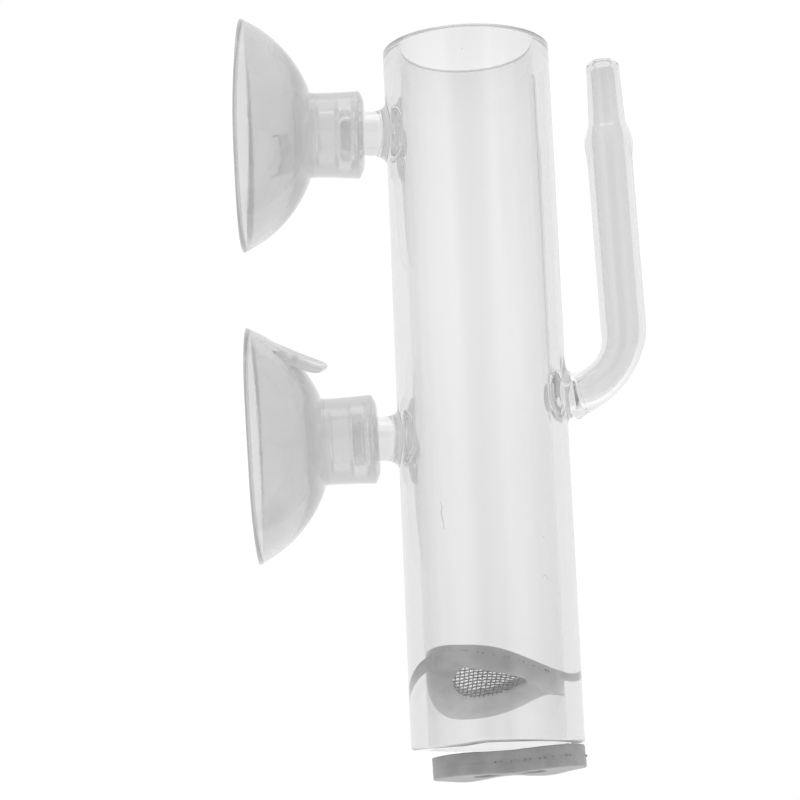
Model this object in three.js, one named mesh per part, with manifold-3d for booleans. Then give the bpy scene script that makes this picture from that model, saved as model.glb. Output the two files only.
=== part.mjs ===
// Hanging glass tumbler tube for an aquarium: a straight glass tube held on the
// tank wall by two suction cups on glass pegs, fed from below by a J-shaped glass
// inlet with a hose spigot, and closed at its lower end by two mesh screens.
// Millimetres, +Z up along the main tube. The tank wall is the plane X = 0, the
// cups open towards -X, and the origin lies on that plane midway between the cups.

import * as THREE from 'three';
import { mergeVertices } from 'three/addons/utils/BufferGeometryUtils.js';
import Module from 'manifold-3d';

// ---- driving dimensions -------------------------------------------------

// main tube
const TUBE_OD = 30.0;
const TUBE_WALL = 3.0;
const TUBE_LENGTH = 125.4;
const TUBE_AXIS_X = 40.8;          // tube axis from the tank wall
const TUBE_BOTTOM_Z = -82.4;       // lower mouth
const RIM_ROUND = 0.35;            // fire-polished corners

// suction cups, both from one mould
const CUP_HALF_SPACING = 27.9;     // cups above and below the origin
const CUP_RIM_R = 20.95;
const CUP_LIP_WIDTH = 1.0;
const CUP_OUTER_SPHERE_R = 22.82;
const CUP_OUTER_SPHERE_D = -9.05;  // sphere centre, depth from the lip plane
const CUP_INNER_SPHERE_R = 22.75;
const CUP_INNER_SPHERE_D = -10.93;
const COLLAR_R_ROOT = 7.6;
const COLLAR_R_END = 7.85;
const COLLAR_END_D = 21.3;
const COLLAR_CROWN_D = 22.1;
const SOCKET_R = 4.3;
const SOCKET_FLOOR_D = 13.5;
const SOCKET_GROOVE_R = 5.05;
const SOCKET_GROOVE_D = [17.3, 20.3];
const TAB_WIDTH = 8.0;
const TAB_THICKNESS = 1.0;
const TAB_ROOT = [3.2, 18.95];     // depth, radius of the tab's middle at its root
const TAB_TIP = [13.3, 12.75];     // depth, radius at its tip
const UPPER_CUP_TURN = THREE.MathUtils.degToRad(-93);
const LOWER_CUP_TURN = THREE.MathUtils.degToRad(17);

// glass pegs
const PEG_R = 4.0;
const PEG_BEAD_R = 4.7;
const PEG_FOOT_R = 5.3;
const PEG_END_D = 17.6;            // depth of the peg's end inside the socket
const PEG_BEAD_D = [17.8, 19.9];
const WELD_GAP = 0.3;              // where one glass piece meets another

// J-shaped inlet (distances from the main tube's axis and lower mouth)
const INLET_R = 4.0;
const INLET_BORE_R = 3.1;
const INLET_BEND_R = 11.8;
const INLET_BEND_CENTRE = [13.9, 72.5];
const INLET_START_X = 16.7;
const INLET_LEAN = 0.022;          // the leg leans towards the tube, radians
const INLET_LEG_LENGTH = 31.6;
const NIPPLE_R = 4.4;
const NIPPLE_Z = 61.4;

// hose spigot (heights above the end of the leg)
const SPIGOT_LENGTH = 17.6;
const SPIGOT_BORE_R = 2.15;

// screens
const SCREEN_R = 13.2;
const SCREEN_HOLE_R = 6.35;
const RING_THICKNESS = 1.7;
const MESH_THICKNESS = 0.3;
const SCREEN_GAP = 0.1;
const INNER_SCREEN_R = 11.55;      // squeezed into the bore, where it sits tilted and bent
const INNER_HOLE_R = 6.3;
// Height of the inner screen's underside above the lower mouth: terms
// [power of x, power of y, millimetres], with x and y as fractions of 12 mm.
const INNER_SCREEN_SHAPE = [
  [0, 0, 10.898], [0, 1, -4.807], [0, 2, 0.5], [0, 3, 1.825], [0, 4, -2.478],
  [1, 0, -0.205], [1, 1, 1.077], [1, 2, -0.097], [1, 3, 1.232],
  [2, 0, -4.832], [2, 1, 2.663], [2, 2, -0.092], [3, 0, -0.368], [3, 1, 4.015], [4, 0, 2.894],
];
const LOWER_SCREEN_AT = [1.8, -2.9];          // from the tube axis, from the mouth
const LOWER_SCREEN_SLOPE = [0.0475, 0.0];

const TUBE_SEGMENTS = 64;
const CUP_SEGMENTS = 36;
const SMALL_SEGMENTS = 20;
const SCREEN_SEGMENTS = 32;

// ---- materials ----------------------------------------------------------

const glass = new THREE.MeshStandardMaterial({ color: 0xe6eaea, roughness: 0.05, metalness: 0.0, transparent: true, opacity: 0.45 });
const softPvc = new THREE.MeshStandardMaterial({ color: 0xc9cbcb, roughness: 0.35, metalness: 0.0, transparent: true, opacity: 0.85 });
const silicone = new THREE.MeshStandardMaterial({ color: 0x909292, roughness: 0.55, metalness: 0.0 });
const steelMesh = new THREE.MeshStandardMaterial({ color: 0x8c8c8a, roughness: 0.35, metalness: 1.0 });

// ---- solids -------------------------------------------------------------

const wasm = await Module();
wasm.setup();

// Turns a closed three.js geometry into a solid, facing outwards.
function solid(geometry) {
  let g = geometry.clone();
  g.deleteAttribute('normal');
  g.deleteAttribute('uv');
  g = mergeVertices(g, 1e-4);
  const p = g.getAttribute('position');
  const index = g.getIndex().array;
  const tris = [];
  let volume = 0;
  const a = new THREE.Vector3(), b = new THREE.Vector3(), c = new THREE.Vector3();
  for (let i = 0; i < index.length; i += 3) {
    const [i0, i1, i2] = [index[i], index[i + 1], index[i + 2]];
    if (i0 === i1 || i1 === i2 || i2 === i0) continue;
    tris.push(i0, i1, i2);
    a.fromBufferAttribute(p, i0); b.fromBufferAttribute(p, i1); c.fromBufferAttribute(p, i2);
    volume += a.dot(b.cross(c)) / 6;
  }
  if (volume < 0) {
    for (let i = 0; i < tris.length; i += 3) [tris[i + 1], tris[i + 2]] = [tris[i + 2], tris[i + 1]];
  }
  return new wasm.Manifold(new wasm.Mesh({
    numProp: 3,
    vertProperties: new Float32Array(p.array),
    triVerts: new Uint32Array(tris),
  }));
}

function geometryOf(manifold) {
  const mesh = manifold.getMesh();
  const positions = new Float32Array((mesh.vertProperties.length / mesh.numProp) * 3);
  for (let i = 0, n = positions.length / 3; i < n; i++) {
    for (let k = 0; k < 3; k++) positions[3 * i + k] = mesh.vertProperties[i * mesh.numProp + k];
  }
  const g = new THREE.BufferGeometry();
  g.setAttribute('position', new THREE.BufferAttribute(positions, 3));
  g.setIndex(new THREE.BufferAttribute(new Uint32Array(mesh.triVerts), 1));
  g.computeVertexNormals();
  return g;
}

// A profile of [radius, height] pairs turned round +Z.
function turned(profile, segments) {
  const g = new THREE.LatheGeometry(profile.map(([r, h]) => new THREE.Vector2(r, h)), segments);
  g.rotateX(Math.PI / 2);
  return g;
}

// The same, with the height laid along +X or -X instead of +Z.
function turnedAlongX(profile, segments, sign = 1) {
  const g = turned(profile, segments);
  g.rotateY(sign * Math.PI / 2);
  return g;
}

function piece(name, geometry, material) {
  const mesh = new THREE.Mesh(geometry, material);
  mesh.name = name;
  return mesh;
}

const object = new THREE.Group();

// The glass group stands on the lower mouth's centre.
const glassGroup = new THREE.Group();
glassGroup.position.set(TUBE_AXIS_X, 0, TUBE_BOTTOM_Z);
object.add(glassGroup);

const tubeR = TUBE_OD / 2;
const boreR = tubeR - TUBE_WALL;

// ---- main tube: open both ends, with a pulled nipple and a hole for the inlet

{
  const q = RIM_ROUND;
  const body = solid(turned([
    [0, 0], [tubeR - q, 0], [tubeR - 0.3 * q, 0.3 * q], [tubeR, q],
    [tubeR, TUBE_LENGTH - q], [tubeR - 0.3 * q, TUBE_LENGTH - 0.3 * q],
    [tubeR - q, TUBE_LENGTH], [0, TUBE_LENGTH],
  ], TUBE_SEGMENTS));

  const nipple = solid(turnedAlongX([
    [0, 10], [NIPPLE_R + 3.4, 10], [NIPPLE_R + 3.2, 14.2], [NIPPLE_R + 2.2, 14.9], [NIPPLE_R + 1.1, 15.35],
    [NIPPLE_R + 0.4, 15.9], [NIPPLE_R, 16.5], [NIPPLE_R, 20], [0, 20],
  ], SMALL_SEGMENTS).scale(1, 0.86, 1).translate(0, 0, NIPPLE_Z));

  const bore = solid(turned([
    [0, -1], [boreR + q, -1], [boreR + q, 0], [boreR, q],
    [boreR, TUBE_LENGTH - q], [boreR + q, TUBE_LENGTH], [boreR + q, TUBE_LENGTH + 1], [0, TUBE_LENGTH + 1],
  ], TUBE_SEGMENTS));

  // the nipple's mouth, square to the start of the inlet and just clear of it
  const start = inletStart();
  const mouth = new THREE.BoxGeometry(20, 24, 40);
  mouth.translate(10 - WELD_GAP, 0, 0);
  mouth.rotateY(-start.angle);
  mouth.translate(start.x, 0, start.z);

  const hole = turnedAlongX([[0, -8], [INLET_BORE_R, -8], [INLET_BORE_R, 4], [0, 4]], SMALL_SEGMENTS);
  hole.rotateY(-start.angle);
  hole.translate(start.x, 0, start.z);

  const tube = body.add(nipple.subtract(solid(mouth))).subtract(bore).subtract(solid(hole));
  glassGroup.add(piece('main_tube', geometryOf(tube), glass));
}

// Where the inlet starts: on the bend's circle, its angle above the horizontal.
function inletStart() {
  const dx = INLET_START_X - INLET_BEND_CENTRE[0];
  return {
    x: INLET_START_X,
    z: INLET_BEND_CENTRE[1] - Math.sqrt(INLET_BEND_R ** 2 - dx ** 2),
    angle: Math.asin(dx / INLET_BEND_R),
  };
}

// Where the leg ends, and the spigot starts.
function legEnd() {
  const bendEnd = [
    INLET_BEND_CENTRE[0] + INLET_BEND_R * Math.cos(INLET_LEAN),
    INLET_BEND_CENTRE[1] + INLET_BEND_R * Math.sin(INLET_LEAN),
  ];
  return {
    bendEnd,
    x: bendEnd[0] - Math.sin(INLET_LEAN) * INLET_LEG_LENGTH,
    z: bendEnd[1] + Math.cos(INLET_LEAN) * INLET_LEG_LENGTH,
  };
}

// ---- J-shaped inlet: one bent glass tube, open through

{
  const start = inletStart();
  const end = legEnd();
  const points = [];
  const from = start.angle - Math.PI / 2;
  for (let i = 0; i <= 24; i++) {
    const a = from + (INLET_LEAN - from) * (i / 24);
    points.push(new THREE.Vector3(
      INLET_BEND_CENTRE[0] + INLET_BEND_R * Math.cos(a), 0,
      INLET_BEND_CENTRE[1] + INLET_BEND_R * Math.sin(a)));
  }
  for (let i = 1; i <= 12; i++) {
    const t = i / 12;
    points.push(new THREE.Vector3(
      end.bendEnd[0] + (end.x - end.bendEnd[0]) * t, 0,
      end.bendEnd[1] + (end.z - end.bendEnd[1]) * t));
  }
  const path = new THREE.CatmullRomCurve3(points, false, 'centripetal');
  const ring = new THREE.Shape().absarc(0, 0, INLET_R, 0, Math.PI * 2, false);
  ring.holes.push(new THREE.Path().absarc(0, 0, INLET_BORE_R, 0, Math.PI * 2, true));
  const g = new THREE.ExtrudeGeometry(ring, { steps: 20, curveSegments: 8, bevelEnabled: false, extrudePath: path });
  glassGroup.add(piece('inlet_tube', geometryOf(solid(g)), glass));
}

// ---- hose spigot: a bulge that stops the hose, then a tapered spigot

{
  const end = legEnd();
  const L = SPIGOT_LENGTH;
  const g = turned([
    [INLET_BORE_R, 0], [4.0, 0], [4.12, 0.9], [4.37, 1.8], [4.37, 2.6], [3.95, 4.0],
    [3.55, 5.0], [3.3, 6.2], [3.04, L - 0.9], [2.92, L - 0.3], [2.75, L],
    [SPIGOT_BORE_R, L], [SPIGOT_BORE_R, 5.0], [INLET_BORE_R, 1.8], [INLET_BORE_R, 0],
  ], SMALL_SEGMENTS);
  const spigot = piece('hose_spigot', geometryOf(solid(g)), glass);
  spigot.rotation.y = -INLET_LEAN;
  spigot.position.set(end.x - Math.sin(INLET_LEAN) * WELD_GAP, 0, end.z + Math.cos(INLET_LEAN) * WELD_GAP);
  glassGroup.add(spigot);
}

// ---- pegs and suction cups, laid out from the tank wall plane (depth = +X)

function pegGeometry() {
  const wallClear = solid(turned([[0, -20], [tubeR + WELD_GAP, -20], [tubeR + WELD_GAP, 20], [0, 20]], TUBE_SEGMENTS)
    .translate(TUBE_AXIS_X, 0, 0));
  const [b0, b1] = PEG_BEAD_D;
  const wall = TUBE_AXIS_X - tubeR;
  const g = turnedAlongX([
    [0, PEG_END_D], [PEG_BEAD_R - 1.1, PEG_END_D], [PEG_BEAD_R - 0.35, b0 + 0.1], [PEG_BEAD_R, b0 + 0.65],
    [PEG_BEAD_R, b1 - 0.65], [PEG_BEAD_R - 0.3, b1 - 0.1], [PEG_R, b1 + 0.15],
    [PEG_R, wall - 1.9], [PEG_R + 0.45, wall - 1.1], [PEG_FOOT_R, wall - 0.3],
    [PEG_FOOT_R, wall + 3], [0, wall + 3],
  ], SMALL_SEGMENTS);
  return geometryOf(solid(g).subtract(wallClear));
}

function cupGeometry() {
  const profile = [];
  // concave face, from the middle out to the lip
  const lipInner = CUP_RIM_R - CUP_LIP_WIDTH;
  const n = 6;
  const innerAngle = Math.asin(lipInner / CUP_INNER_SPHERE_R);
  for (let i = 0; i <= n; i++) {
    const a = innerAngle * (i / n);
    profile.push([CUP_INNER_SPHERE_R * Math.sin(a), CUP_INNER_SPHERE_D + CUP_INNER_SPHERE_R * Math.cos(a)]);
  }
  profile[n] = [lipInner, 0];
  profile[0][0] = 0;
  // flat lip, then the dome back to the collar
  profile.push([CUP_RIM_R, 0]);
  const m = 7;
  const a0 = Math.asin(CUP_RIM_R / CUP_OUTER_SPHERE_R);
  const a1 = Math.asin((COLLAR_R_ROOT + 0.6) / CUP_OUTER_SPHERE_R);
  for (let i = 1; i <= m; i++) {
    const a = a0 + (a1 - a0) * (i / m);
    profile.push([CUP_OUTER_SPHERE_R * Math.sin(a), CUP_OUTER_SPHERE_D + CUP_OUTER_SPHERE_R * Math.cos(a)]);
  }
  const last = profile[profile.length - 1];
  profile.push([COLLAR_R_ROOT + 0.12, last[1] + 0.35], [COLLAR_R_ROOT, last[1] + 0.9]);
  // collar, its crowned end and the grooved socket for the peg
  profile.push(
    [COLLAR_R_END, COLLAR_END_D - 0.6], [COLLAR_R_END - 0.25, COLLAR_END_D], [COLLAR_R_END - 1.5, COLLAR_CROWN_D - 0.2],
    [SOCKET_R, COLLAR_CROWN_D],
    [SOCKET_R, SOCKET_GROOVE_D[1] + 0.3], [SOCKET_GROOVE_R, SOCKET_GROOVE_D[1]],
    [SOCKET_GROOVE_R, SOCKET_GROOVE_D[0]], [SOCKET_R, SOCKET_GROOVE_D[0] - 0.3],
    [SOCKET_R, SOCKET_FLOOR_D], [0, SOCKET_FLOOR_D]);
  const cup = solid(turnedAlongX(profile, CUP_SEGMENTS));

  // pull tab: a round-ended tongue that leaves the dome and stands off it
  const [d0, r0] = TAB_ROOT, [d1, r1] = TAB_TIP;
  const length = Math.hypot(d1 - d0, r1 - r0);
  const slope = Math.atan2(r1 - r0, d1 - d0);
  const w = TAB_WIDTH / 2;
  const outline = new THREE.Shape();
  outline.moveTo(0, -w);
  outline.lineTo(length - w, -w);
  outline.absarc(length - w, 0, w, -Math.PI / 2, Math.PI / 2, false);
  outline.lineTo(0, w);
  outline.closePath();
  const tab = new THREE.ExtrudeGeometry(outline, { depth: TAB_THICKNESS, steps: 1, curveSegments: 6, bevelEnabled: false });
  tab.translate(0, 0, -TAB_THICKNESS / 2);
  tab.rotateY(-slope);
  tab.translate(d0, 0, r0);
  // the hollow stays clear of the tab's root
  const hollow = solid(turnedAlongX([
    ...Array.from({ length: n + 1 }, (_, i) => {
      const a = innerAngle * (i / n);
      return i === 0
        ? [0, CUP_INNER_SPHERE_D + CUP_INNER_SPHERE_R]
        : [CUP_INNER_SPHERE_R * Math.sin(a), CUP_INNER_SPHERE_D + CUP_INNER_SPHERE_R * Math.cos(a)];
    }),
    [lipInner, -3], [0, -3],
  ], CUP_SEGMENTS));
  return geometryOf(cup.add(solid(tab).subtract(hollow)));
}

const pegShape = pegGeometry();
const cupShape = cupGeometry();

for (const [where, z, turn] of [['upper', CUP_HALF_SPACING, UPPER_CUP_TURN], ['lower', -CUP_HALF_SPACING, LOWER_CUP_TURN]]) {
  const peg = piece(`${where}_peg`, pegShape, glass);
  peg.position.set(0, 0, z);
  object.add(peg);
  const cup = piece(`${where}_suction_cup`, cupShape, softPvc);
  cup.position.set(0, 0, z);
  cup.rotation.x = turn;
  object.add(cup);
}

// ---- mesh screens: a woven disc held between two silicone rings

const ringShape = (() => {
  const e = 0.25, t = RING_THICKNESS / 2;
  return geometryOf(solid(turned([
    [SCREEN_HOLE_R, -t], [SCREEN_R - e, -t], [SCREEN_R, -t + e], [SCREEN_R, t], [SCREEN_HOLE_R, t], [SCREEN_HOLE_R, -t],
  ], SCREEN_SEGMENTS)));
})();
const ringShapeUp = ringShape.clone().rotateX(Math.PI);
const meshShape = (() => {
  const t = MESH_THICKNESS / 2;
  return geometryOf(solid(turned([[0, -t], [SCREEN_R - 0.1, -t], [SCREEN_R - 0.1, t], [0, t]], SCREEN_SEGMENTS)));
})();

function screen(prefix, x, z, slope) {
  const group = new THREE.Group();
  group.position.set(x, 0, z);
  const normal = new THREE.Vector3(-slope[0], -slope[1], 1).normalize();
  group.quaternion.setFromUnitVectors(new THREE.Vector3(0, 0, 1), normal);
  const step = MESH_THICKNESS / 2 + SCREEN_GAP + RING_THICKNESS / 2;
  const upper = piece(`${prefix}_upper_ring`, ringShapeUp, silicone);
  upper.position.z = step;
  const lower = piece(`${prefix}_lower_ring`, ringShape, silicone);
  lower.position.z = -step;
  group.add(upper, piece(`${prefix}_mesh`, meshShape, steelMesh), lower);
  return group;
}

// The inner screen is the same sandwich, bent. Every slab shares one grid, so
// the gaps between the slabs stay even.
function bentHeight(x, y) {
  const [u, v] = [x / 12, y / 12];
  return INNER_SCREEN_SHAPE.reduce((sum, [i, j, c]) => sum + c * u ** i * v ** j, 0);
}

function bentSlab(radii, low, high, bevelLow, bevelHigh) {
  const n = SCREEN_SEGMENTS;
  const positions = [], index = [];
  const loop = (r, h) => {
    const first = positions.length / 3;
    for (let k = 0; k < n; k++) {
      const a = (2 * Math.PI * k) / n;
      const [x, y] = [r * Math.cos(a), r * Math.sin(a)];
      positions.push(x, y, bentHeight(x, y) + h);
    }
    return first;
  };
  const centre = (h) => {
    positions.push(0, 0, bentHeight(0, 0) + h);
    return positions.length / 3 - 1;
  };
  // joins two loops, always along the same diagonal
  const join = (a, b, flip) => {
    for (let k = 0; k < n; k++) {
      const m = (k + 1) % n;
      if (flip) index.push(a + k, a + m, b + k, a + m, b + m, b + k);
      else index.push(a + k, b + k, a + m, a + m, b + k, b + m);
    }
  };
  const fan = (c, a, flip) => {
    for (let k = 0; k < n; k++) {
      const m = (k + 1) % n;
      index.push(...(flip ? [c, a + m, a + k] : [c, a + k, a + m]));
    }
  };
  const solidDisc = radii[0] === 0;
  const rs = solidDisc ? radii.slice(1) : radii;
  const outer = rs[rs.length - 1];
  const face = (h, bevel) => rs.map((r, i) => loop(i === rs.length - 1 ? r - bevel : r, h));
  const bottom = face(low, bevelLow), top = face(high, bevelHigh);
  for (let i = 0; i + 1 < rs.length; i++) {
    join(bottom[i], bottom[i + 1], true);
    join(top[i], top[i + 1], false);
  }
  if (solidDisc) {
    fan(centre(low), bottom[0], true);
    fan(centre(high), top[0], false);
  } else {
    join(bottom[0], top[0], false);
  }
  const side = [bottom[rs.length - 1]];
  if (bevelLow) side.push(loop(outer, low + bevelLow));
  if (bevelHigh) side.push(loop(outer, high - bevelHigh));
  side.push(top[rs.length - 1]);
  for (let i = 0; i + 1 < side.length; i++) join(side[i], side[i + 1], true);
  const g = new THREE.BufferGeometry();
  g.setAttribute('position', new THREE.BufferAttribute(new Float32Array(positions), 3));
  g.setIndex(index);
  return geometryOf(solid(g));
}

const bentRadii = [INNER_HOLE_R, 8.05, 9.8, INNER_SCREEN_R];
const [t0, t1] = [RING_THICKNESS, RING_THICKNESS + SCREEN_GAP];
const [t2, t3] = [t1 + MESH_THICKNESS, t1 + MESH_THICKNESS + SCREEN_GAP];
glassGroup.add(
  piece('inner_screen_upper_ring', bentSlab(bentRadii, t3, t3 + RING_THICKNESS, 0, 0.25), silicone),
  piece('inner_screen_mesh', bentSlab([0, 3.15, INNER_HOLE_R, 8.05, 9.8, INNER_SCREEN_R - 0.1], t1, t2, 0, 0), steelMesh),
  piece('inner_screen_lower_ring', bentSlab(bentRadii, 0, t0, 0.25, 0), silicone),
);
glassGroup.add(screen('lower_screen', LOWER_SCREEN_AT[0], LOWER_SCREEN_AT[1], LOWER_SCREEN_SLOPE));

export default object;
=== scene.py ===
import math

import bmesh
import bpy
import numpy as np
from mathutils import Matrix, Vector, noise


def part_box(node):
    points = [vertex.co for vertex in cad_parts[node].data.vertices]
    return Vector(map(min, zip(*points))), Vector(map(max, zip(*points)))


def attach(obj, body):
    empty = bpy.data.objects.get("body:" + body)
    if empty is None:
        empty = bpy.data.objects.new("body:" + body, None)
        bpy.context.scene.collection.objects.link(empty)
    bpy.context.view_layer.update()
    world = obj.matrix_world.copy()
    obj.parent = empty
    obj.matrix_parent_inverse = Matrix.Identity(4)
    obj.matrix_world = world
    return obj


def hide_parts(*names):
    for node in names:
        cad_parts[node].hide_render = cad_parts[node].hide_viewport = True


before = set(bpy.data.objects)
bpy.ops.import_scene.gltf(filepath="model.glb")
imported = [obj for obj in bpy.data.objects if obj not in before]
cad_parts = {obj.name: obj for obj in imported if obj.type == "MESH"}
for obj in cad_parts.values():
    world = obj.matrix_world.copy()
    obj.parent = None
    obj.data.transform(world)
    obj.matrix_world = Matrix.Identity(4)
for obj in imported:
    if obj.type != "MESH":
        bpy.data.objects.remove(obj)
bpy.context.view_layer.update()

# ---------------------------------------------------------------------------
# Places, all taken from the frame. G is the glass frame: millimetres, its
# origin at the centre of the main tube's lower mouth, +Z along the tube.
# ---------------------------------------------------------------------------
tube_lo, tube_hi = (v * 1000 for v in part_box("main_tube"))
TUBE_R, BORE_R = 15.0, 12.0
TX = tube_lo.x + TUBE_R
TZ = tube_lo.z
TUBE_L = tube_hi.z - tube_lo.z
cups = {}
for which in ("upper", "lower"):
    lo, hi = (v * 1000 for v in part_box(which + "_peg"))
    cups[which] = {"z": (lo.z + hi.z) / 2, "end": lo.x}
CUP_LIP_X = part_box("upper_suction_cup")[0].x * 1000
leg_lo, leg_hi = (v * 1000 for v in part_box("inlet_tube"))
spigot_lo, spigot_hi = (v * 1000 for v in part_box("hose_spigot"))


def g_to_row(p):
    p = np.asarray(p, float).reshape(-1, 3)
    return (p + np.array([TX, 0.0, TZ])) / 1000.0


class Build:
    """Vertices and faces of one mesh, in millimetres."""

    def __init__(self):
        self.v, self.f = [], []

    def add(self, points):
        first = len(self.v)
        self.v.extend([tuple(map(float, p)) for p in points])
        return list(range(first, first + len(points)))

    def strip(self, a, b, closed=True):
        n = len(a)
        for i in range(n if closed else n - 1):
            j = (i + 1) % n
            self.f.append((a[i], a[j], b[j], b[i]))

    def fan(self, loop, point):
        c = self.add([point])[0]
        for i in range(len(loop)):
            self.f.append((loop[i], loop[(i + 1) % len(loop)], c))

    def rings(self, list_of_rings, closed=True):
        loops = [self.add(r) for r in list_of_rings]
        for a, b in zip(loops, loops[1:]):
            self.strip(a, b, closed)
        return loops

    def mesh(self, name, to_row=None, outward=True):
        me = bpy.data.meshes.new(name)
        me.from_pydata(self.v, [], self.f)
        bm = bmesh.new()
        bm.from_mesh(me)
        bmesh.ops.recalc_face_normals(bm, faces=bm.faces)
        if (bm.calc_volume(signed=True) < 0) == outward:
            bmesh.ops.reverse_faces(bm, faces=bm.faces)
        bm.to_mesh(me)
        bm.free()
        if to_row is not None:
            co = np.zeros(len(me.vertices) * 3, np.float32)
            me.vertices.foreach_get("co", co)
            me.vertices.foreach_set("co", to_row(co.reshape(-1, 3)).astype(np.float32).ravel())
        for p in me.polygons:
            p.use_smooth = True
        me.update()
        return me


def object_of(name, me):
    o = bpy.data.objects.new(name, me)
    bpy.context.scene.collection.objects.link(o)
    return o


def evaluated(o):
    """Applies o's modifiers and returns it."""
    dg = bpy.context.evaluated_depsgraph_get()
    me = bpy.data.meshes.new_from_object(o.evaluated_get(dg))
    o.modifiers.clear()
    old = o.data
    o.data = me
    bpy.data.meshes.remove(old)
    return o


def step(x, lo, hi):
    t = min(max((x - lo) / (hi - lo), 0.0), 1.0)
    return t * t * (3 - 2 * t)


def smooth01(t):
    t = np.clip(t, 0.0, 1.0)
    return t * t * (3 - 2 * t)


# ---------------------------------------------------------------------------
# Glass: one continuous body, as the flame leaves it. Tube, two hollow pegs,
# the pulled nipple, the J and the spigot share one skin, inside and out.
# ---------------------------------------------------------------------------
NT = 144            # vertices round the tube
DZ = 0.82           # row spacing
RIM = 0.38          # the rims' corners


def wall_rows():
    n = int(round((TUBE_L - 2 * RIM) / DZ))
    return np.linspace(RIM, TUBE_L - RIM, n + 1)


ROWS = wall_rows()


def wall_point(y, z, side, r):
    return (side * math.sqrt(max(r * r - y * y, 0.0)), y, z)


def wall(build, r, patches):
    """The tube's wall as a grid with rectangular patches left open. Returns the lowest loop, the highest loop and each patch's boundary."""
    nz = len(ROWS)
    keep = np.ones((nz, NT), bool)
    solid = np.ones((nz - 1, NT), bool)
    for p in patches:
        for j in range(p["j0"], p["j1"] + 1):
            for d in range(-p["half"], p["half"] + 1):
                i = (p["i"] + d) % NT
                inside = p["j0"] < j < p["j1"] and abs(d) < p["half"]
                if inside:
                    keep[j, i] = False
                if j < p["j1"] and d < p["half"]:
                    solid[j, i] = False
    index = -np.ones((nz, NT), int)
    for j in range(nz):
        for i in range(NT):
            if keep[j, i]:
                a = 2 * math.pi * i / NT
                index[j, i] = build.add([(r * math.cos(a), r * math.sin(a), ROWS[j])])[0]
    for j in range(nz - 1):
        for i in range(NT):
            if solid[j, i]:
                k = (i + 1) % NT
                build.f.append((index[j, i], index[j, k], index[j + 1, k], index[j + 1, i]))
    loops = []
    for p in patches:
        h, j0, j1 = p["half"], p["j0"], p["j1"]
        path = [(j0, d) for d in range(-h, h)] + [(j, h) for j in range(j0, j1)]
        path += [(j1, d) for d in range(h, -h, -1)] + [(j, -h) for j in range(j1, j0, -1)]
        ids = [index[j, (p["i"] + d) % NT] for j, d in path]
        ym = r * math.sin(2 * math.pi * h / NT)
        zc, zh = (ROWS[j0] + ROWS[j1]) / 2, (ROWS[j1] - ROWS[j0]) / 2
        sign = 1.0 if p["side"] > 0 else -1.0
        yz = [(sign * r * math.sin(2 * math.pi * d / NT), ROWS[j]) for j, d in path]
        psi = []
        for y, z in yz:
            # a square's boundary mapped evenly on to a circle
            a, b = y / ym, (z - zc) / zh
            if abs(a) >= abs(b):
                t = math.pi / 4 * b / abs(a)
                psi.append(t if a > 0 else math.pi - t)
            else:
                t = math.pi / 4 * a / abs(b)
                psi.append(math.pi / 2 - t if b > 0 else -math.pi / 2 + t)
        loops.append({"ids": ids, "yz": yz, "psi": psi})
    return list(index[0]), list(index[-1]), loops


def bridge(build, loop, side, r, base, target, direction, k0, k1, spread=6, steps=14, wobble=0.0, seed=0.0):
    """Fills from a patch's boundary, over the wall, to a base ellipse, then in a smooth concave fillet to the target ring."""
    a_e, b_e, z_e = base
    n = len(loop["ids"])
    w = [1 + wobble * noise.noise((math.cos(s) * 1.3 + seed, math.sin(s) * 1.3, seed)) for s in loop["psi"]]
    edge = [(a_e * w[k] * math.cos(s), z_e + b_e * w[k] * math.sin(s)) for k, s in enumerate(loop["psi"])]
    rings = []
    for m in range(1, spread + 1):
        t = m / spread
        rings.append([wall_point(y0 + (y1 - y0) * t, z0 + (z1 - z0) * t, side, r)
                      for (y0, z0), (y1, z1) in zip(loop["yz"], edge)])
    d = Vector(direction)
    curve = []
    for k in range(n):
        p0 = Vector(rings[-1][k])
        y, z = edge[k]
        inner = Vector(wall_point(y * 0.9, z_e + (z - z_e) * 0.9, side, r))
        p3 = Vector(target[k])
        p1 = p0 + (inner - p0).normalized() * k0
        p2 = p3 - d * k1
        curve.append((p0, p1, p2, p3))
    for m in range(1, steps + 1):
        t = m / steps
        c = ((1 - t) ** 3, 3 * t * (1 - t) ** 2, 3 * t * t * (1 - t), t ** 3)
        rings.append([tuple(q[0] * c[0] + q[1] * c[1] + q[2] * c[2] + q[3] * c[3]) for q in curve])
    loops = build.rings(rings)
    build.strip(loop["ids"], loops[0])
    return loops[-1]


def row_at(z):
    return int(np.argmin(np.abs(ROWS - z)))


# --- the J's centre line: its bend, leg and spigot (glass frame) -----------
LEAN = 0.022
leg_x = leg_hi.x - TX - 4.0 - 0.0              # rightmost centre of the leg
BEND_R = 11.8
BEND_C = (leg_x - BEND_R, leg_lo.z - TZ + 15.3)
# the bend's centre height: its start lies a little above the tube's lowest point
BEND_C = (13.9, 72.5)
LEG_TOP = leg_hi.z - TZ
SPIGOT_TOP = spigot_hi.z - TZ
PHI0, PHI1 = math.radians(-77.7), LEAN


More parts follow.
